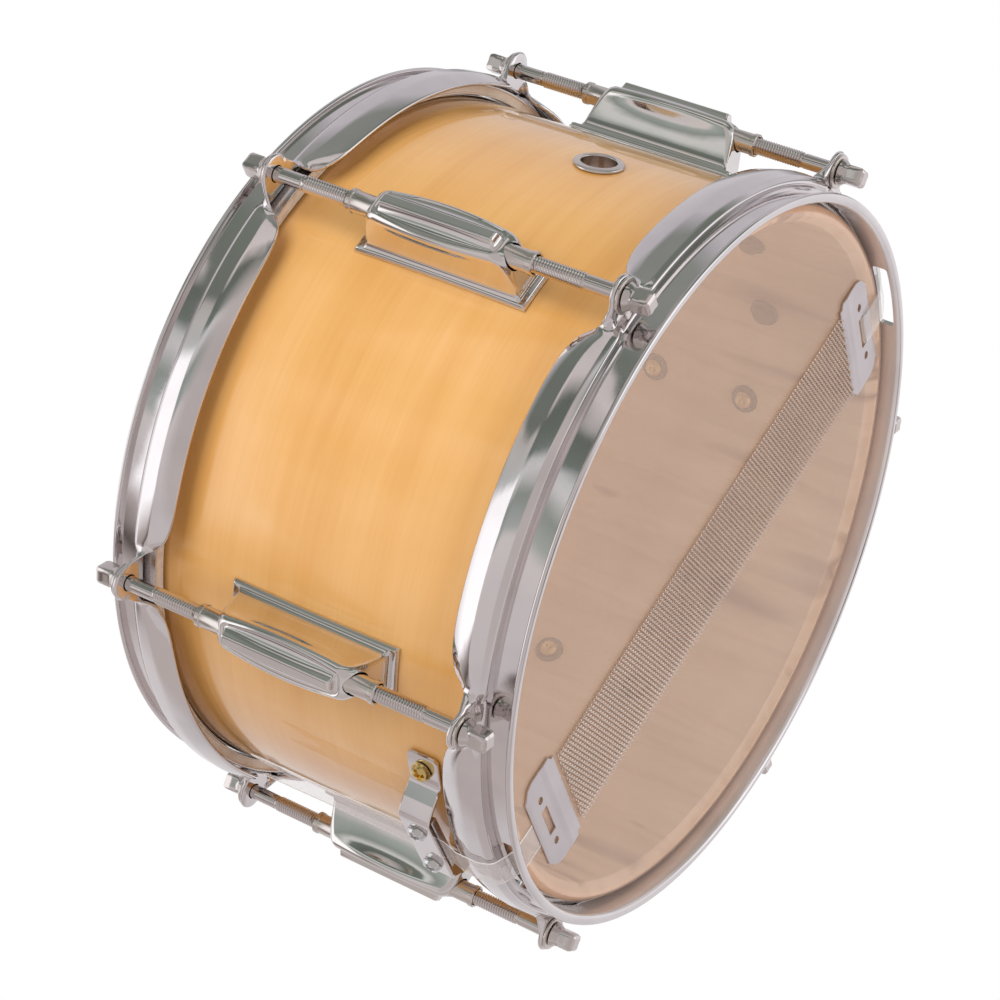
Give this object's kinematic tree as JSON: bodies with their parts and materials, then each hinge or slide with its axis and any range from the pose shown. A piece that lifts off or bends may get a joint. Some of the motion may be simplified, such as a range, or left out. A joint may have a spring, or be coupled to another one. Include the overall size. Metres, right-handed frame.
{
  "type": "snare drum",
  "caption": "Small snare drum: glossy wooden shell, two heads under flanged chrome hoops, lugs and tension rods, a wire belt held by a butt bracket and a throw-off strainer.",
  "frame": {"origin": "on the drum's axis, in the plane of the snare-side hoop's rim, on which the drum stands", "axes": "+Z along the drum's axis towards the batter head, +X through the lug station of lug_1; lugs every 60 degrees, butt bracket at 150 degrees, strainer at -30 degrees, vent at -88.5 degrees"},
  "size_m": [0.295, 0.27, 0.158],
  "materials": {
    "maple": "high-gloss honey-amber lacquer on thin wood plies",
    "chrome": "bright polished chrome plating",
    "chrome_cast": "chrome-plated die casting",
    "nickel": "satin nickel plating",
    "rod_steel": "chrome-plated steel with fine threads",
    "plate": "plain plated sheet steel, slightly dull",
    "wire": "bright coiled steel wire",
    "aluminium": "satin aluminium",
    "film_batter": "white coated polyester film",
    "film_snare": "thin hazy translucent polyester film",
    "strap": "clear flexible polyester strip",
    "brass": "yellow passivated screw",
    "screw_chrome": "chrome-plated screw"
  },
  "bodies": {
    "drum": {"shell": "maple", "vent_grommet": "nickel", "hoop_batter": "chrome", "head_batter": "film_batter", "flesh_hoop_batter": "aluminium", "hoop_snare": "chrome", "head_snare": "film_snare", "flesh_hoop_snare": "aluminium", "lug_1": "chrome_cast", "nut_insert_1": "nickel", "lug_2": "chrome_cast", "nut_insert_2": "nickel", "lug_3": "chrome_cast", "nut_insert_3": "nickel", "lug_4": "chrome_cast", "nut_insert_4": "nickel", "lug_5": "chrome_cast", "nut_insert_5": "nickel", "lug_6": "chrome_cast", "nut_insert_6": "nickel", "strap_butt": "strap", "butt_bracket": "chrome", "butt_clamp_bar": "plate", "butt_clamp_screw_1": "screw_chrome", "butt_foot_screw_1": "brass", "butt_clamp_screw_2": "screw_chrome", "butt_foot_screw_2": "brass", "strainer_base": "chrome_cast"},
    "rod_washer_batter_1": {"washer_batter_1": "nickel"},
    "tension_rod_batter_1": {"rod_batter_1": "rod_steel"},
    "rod_washer_batter_2": {"washer_batter_2": "nickel"},
    "tension_rod_batter_2": {"rod_batter_2": "rod_steel"},
    "rod_washer_batter_3": {"washer_batter_3": "nickel"},
    "tension_rod_batter_3": {"rod_batter_3": "rod_steel"},
    "rod_washer_batter_4": {"washer_batter_4": "nickel"},
    "tension_rod_batter_4": {"rod_batter_4": "rod_steel"},
    "rod_washer_batter_5": {"washer_batter_5": "nickel"},
    "tension_rod_batter_5": {"rod_batter_5": "rod_steel"},
    "rod_washer_batter_6": {"washer_batter_6": "nickel"},
    "tension_rod_batter_6": {"rod_batter_6": "rod_steel"},
    "rod_washer_snare_1": {"washer_snare_1": "nickel"},
    "tension_rod_snare_1": {"rod_snare_1": "rod_steel"},
    "rod_washer_snare_2": {"washer_snare_2": "nickel"},
    "tension_rod_snare_2": {"rod_snare_2": "rod_steel"},
    "rod_washer_snare_3": {"washer_snare_3": "nickel"},
    "tension_rod_snare_3": {"rod_snare_3": "rod_steel"},
    "rod_washer_snare_4": {"washer_snare_4": "nickel"},
    "tension_rod_snare_4": {"rod_snare_4": "rod_steel"},
    "rod_washer_snare_5": {"washer_snare_5": "nickel"},
    "tension_rod_snare_5": {"rod_snare_5": "rod_steel"},
    "rod_washer_snare_6": {"washer_snare_6": "nickel"},
    "tension_rod_snare_6": {"rod_snare_6": "rod_steel"},
    "throw_off_lever": {"strainer_lever": "chrome_cast"},
    "tension_carriage": {"strainer_carriage": "chrome_cast"},
    "tension_knob": {"strainer_knob": "rod_steel"},
    "strap_clamp": {"strainer_clamp": "chrome_cast", "strap_strainer": "strap"},
    "snare_belt": {"snare_wires": "wire", "end_plate_butt": "plate", "end_plate_strainer": "plate"}
  },
  "joints": [
    {"name": "rod_lift_batter_1", "type": "slide", "parent": "drum", "child": "rod_washer_batter_1", "axis": [0, 0, 1], "range_m": [0, 0.002]},
    {"name": "rod_turn_batter_1", "type": "hinge", "parent": "rod_washer_batter_1", "child": "tension_rod_batter_1", "pos_m": [0.14, 0, 0.119], "axis": [0, 0, 1], "range_deg": [0, 720]},
    {"name": "rod_lift_batter_2", "type": "slide", "parent": "drum", "child": "rod_washer_batter_2", "axis": [0, 0, 1], "range_m": [0, 0.002]},
    {"name": "rod_turn_batter_2", "type": "hinge", "parent": "rod_washer_batter_2", "child": "tension_rod_batter_2", "pos_m": [0.07, 0.12124, 0.119], "axis": [0, 0, 1], "range_deg": [0, 720]},
    {"name": "rod_lift_batter_3", "type": "slide", "parent": "drum", "child": "rod_washer_batter_3", "axis": [0, 0, 1], "range_m": [0, 0.002]},
    {"name": "rod_turn_batter_3", "type": "hinge", "parent": "rod_washer_batter_3", "child": "tension_rod_batter_3", "pos_m": [-0.07, 0.12124, 0.119], "axis": [0, 0, 1], "range_deg": [0, 720]},
    {"name": "rod_lift_batter_4", "type": "slide", "parent": "drum", "child": "rod_washer_batter_4", "axis": [0, 0, 1], "range_m": [0, 0.002]},
    {"name": "rod_turn_batter_4", "type": "hinge", "parent": "rod_washer_batter_4", "child": "tension_rod_batter_4", "pos_m": [-0.14, 0, 0.119], "axis": [0, 0, 1], "range_deg": [0, 720]},
    {"name": "rod_lift_batter_5", "type": "slide", "parent": "drum", "child": "rod_washer_batter_5", "axis": [0, 0, 1], "range_m": [0, 0.002]},
    {"name": "rod_turn_batter_5", "type": "hinge", "parent": "rod_washer_batter_5", "child": "tension_rod_batter_5", "pos_m": [-0.07, -0.12124, 0.119], "axis": [0, 0, 1], "range_deg": [0, 720]},
    {"name": "rod_lift_batter_6", "type": "slide", "parent": "drum", "child": "rod_washer_batter_6", "axis": [0, 0, 1], "range_m": [0, 0.002]},
    {"name": "rod_turn_batter_6", "type": "hinge", "parent": "rod_washer_batter_6", "child": "tension_rod_batter_6", "pos_m": [0.07, -0.12124, 0.119], "axis": [0, 0, 1], "range_deg": [0, 720]},
    {"name": "rod_lift_snare_1", "type": "slide", "parent": "drum", "child": "rod_washer_snare_1", "axis": [0, 0, -1], "range_m": [0, 0.002]},
    {"name": "rod_turn_snare_1", "type": "hinge", "parent": "rod_washer_snare_1", "child": "tension_rod_snare_1", "pos_m": [0.14, 0, 0.039], "axis": [0, 0, -1], "range_deg": [0, 720]},
    {"name": "rod_lift_snare_2", "type": "slide", "parent": "drum", "child": "rod_washer_snare_2", "axis": [0, 0, -1], "range_m": [0, 0.002]},
    {"name": "rod_turn_snare_2", "type": "hinge", "parent": "rod_washer_snare_2", "child": "tension_rod_snare_2", "pos_m": [0.07, 0.12124, 0.039], "axis": [0, 0, -1], "range_deg": [0, 720]},
    {"name": "rod_lift_snare_3", "type": "slide", "parent": "drum", "child": "rod_washer_snare_3", "axis": [0, 0, -1], "range_m": [0, 0.002]},
    {"name": "rod_turn_snare_3", "type": "hinge", "parent": "rod_washer_snare_3", "child": "tension_rod_snare_3", "pos_m": [-0.07, 0.12124, 0.039], "axis": [0, 0, -1], "range_deg": [0, 720]},
    {"name": "rod_lift_snare_4", "type": "slide", "parent": "drum", "child": "rod_washer_snare_4", "axis": [0, 0, -1], "range_m": [0, 0.002]},
    {"name": "rod_turn_snare_4", "type": "hinge", "parent": "rod_washer_snare_4", "child": "tension_rod_snare_4", "pos_m": [-0.14, 0, 0.039], "axis": [0, 0, -1], "range_deg": [0, 720]},
    {"name": "rod_lift_snare_5", "type": "slide", "parent": "drum", "child": "rod_washer_snare_5", "axis": [0, 0, -1], "range_m": [0, 0.002]},
    {"name": "rod_turn_snare_5", "type": "hinge", "parent": "rod_washer_snare_5", "child": "tension_rod_snare_5", "pos_m": [-0.07, -0.12124, 0.039], "axis": [0, 0, -1], "range_deg": [0, 720]},
    {"name": "rod_lift_snare_6", "type": "slide", "parent": "drum", "child": "rod_washer_snare_6", "axis": [0, 0, -1], "range_m": [0, 0.002]},
    {"name": "rod_turn_snare_6", "type": "hinge", "parent": "rod_washer_snare_6", "child": "tension_rod_snare_6", "pos_m": [0.07, -0.12124, 0.039], "axis": [0, 0, -1], "range_deg": [0, 720]},
    {"name": "lever_throw", "type": "hinge", "parent": "drum", "child": "throw_off_lever", "pos_m": [0.11994, -0.06925, 0.0885], "axis": [0.5, 0.866, 0], "range_deg": [0, 90]},
    {"name": "carriage_drop", "type": "slide", "parent": "drum", "child": "tension_carriage", "axis": [0, 0, -1], "range_m": [0, 0.002]},
    {"name": "belt_release", "type": "hinge", "parent": "drum", "child": "snare_belt", "pos_m": [-0.09526, 0.055, 0.00475], "axis": [0.5, 0.866, 0], "range_deg": [0, 0.53]},
    {"name": "knob_turn", "type": "hinge", "parent": "tension_carriage", "child": "tension_knob", "pos_m": [0.11865, -0.0685, 0.068], "axis": [0, 0, 1], "range_deg": [0, 360]},
    {"name": "clamp_travel", "type": "slide", "parent": "tension_carriage", "child": "strap_clamp", "axis": [0, 0, -1], "range_m": [0, 0.0008]}
  ],
  "couplings": [
    {"joint": "rod_turn_batter_1", "follows": "rod_lift_batter_1", "rad_per_m": 6283.1},
    {"joint": "rod_turn_batter_2", "follows": "rod_lift_batter_2", "rad_per_m": 6283.1},
    {"joint": "rod_turn_batter_3", "follows": "rod_lift_batter_3", "rad_per_m": 6283.1},
    {"joint": "rod_turn_batter_4", "follows": "rod_lift_batter_4", "rad_per_m": 6283.1},
    {"joint": "rod_turn_batter_5", "follows": "rod_lift_batter_5", "rad_per_m": 6283.1},
    {"joint": "rod_turn_batter_6", "follows": "rod_lift_batter_6", "rad_per_m": 6283.1},
    {"joint": "rod_turn_snare_1", "follows": "rod_lift_snare_1", "rad_per_m": 6283.1},
    {"joint": "rod_turn_snare_2", "follows": "rod_lift_snare_2", "rad_per_m": 6283.1},
    {"joint": "rod_turn_snare_3", "follows": "rod_lift_snare_3", "rad_per_m": 6283.1},
    {"joint": "rod_turn_snare_4", "follows": "rod_lift_snare_4", "rad_per_m": 6283.1},
    {"joint": "rod_turn_snare_5", "follows": "rod_lift_snare_5", "rad_per_m": 6283.1},
    {"joint": "rod_turn_snare_6", "follows": "rod_lift_snare_6", "rad_per_m": 6283.1},
    {"joint": "lever_throw", "follows": "carriage_drop", "rad_per_m": 785.3},
    {"joint": "belt_release", "follows": "carriage_drop", "rad_per_m": 4.55},
    {"joint": "knob_turn", "follows": "clamp_travel", "rad_per_m": 7853}
  ]
}
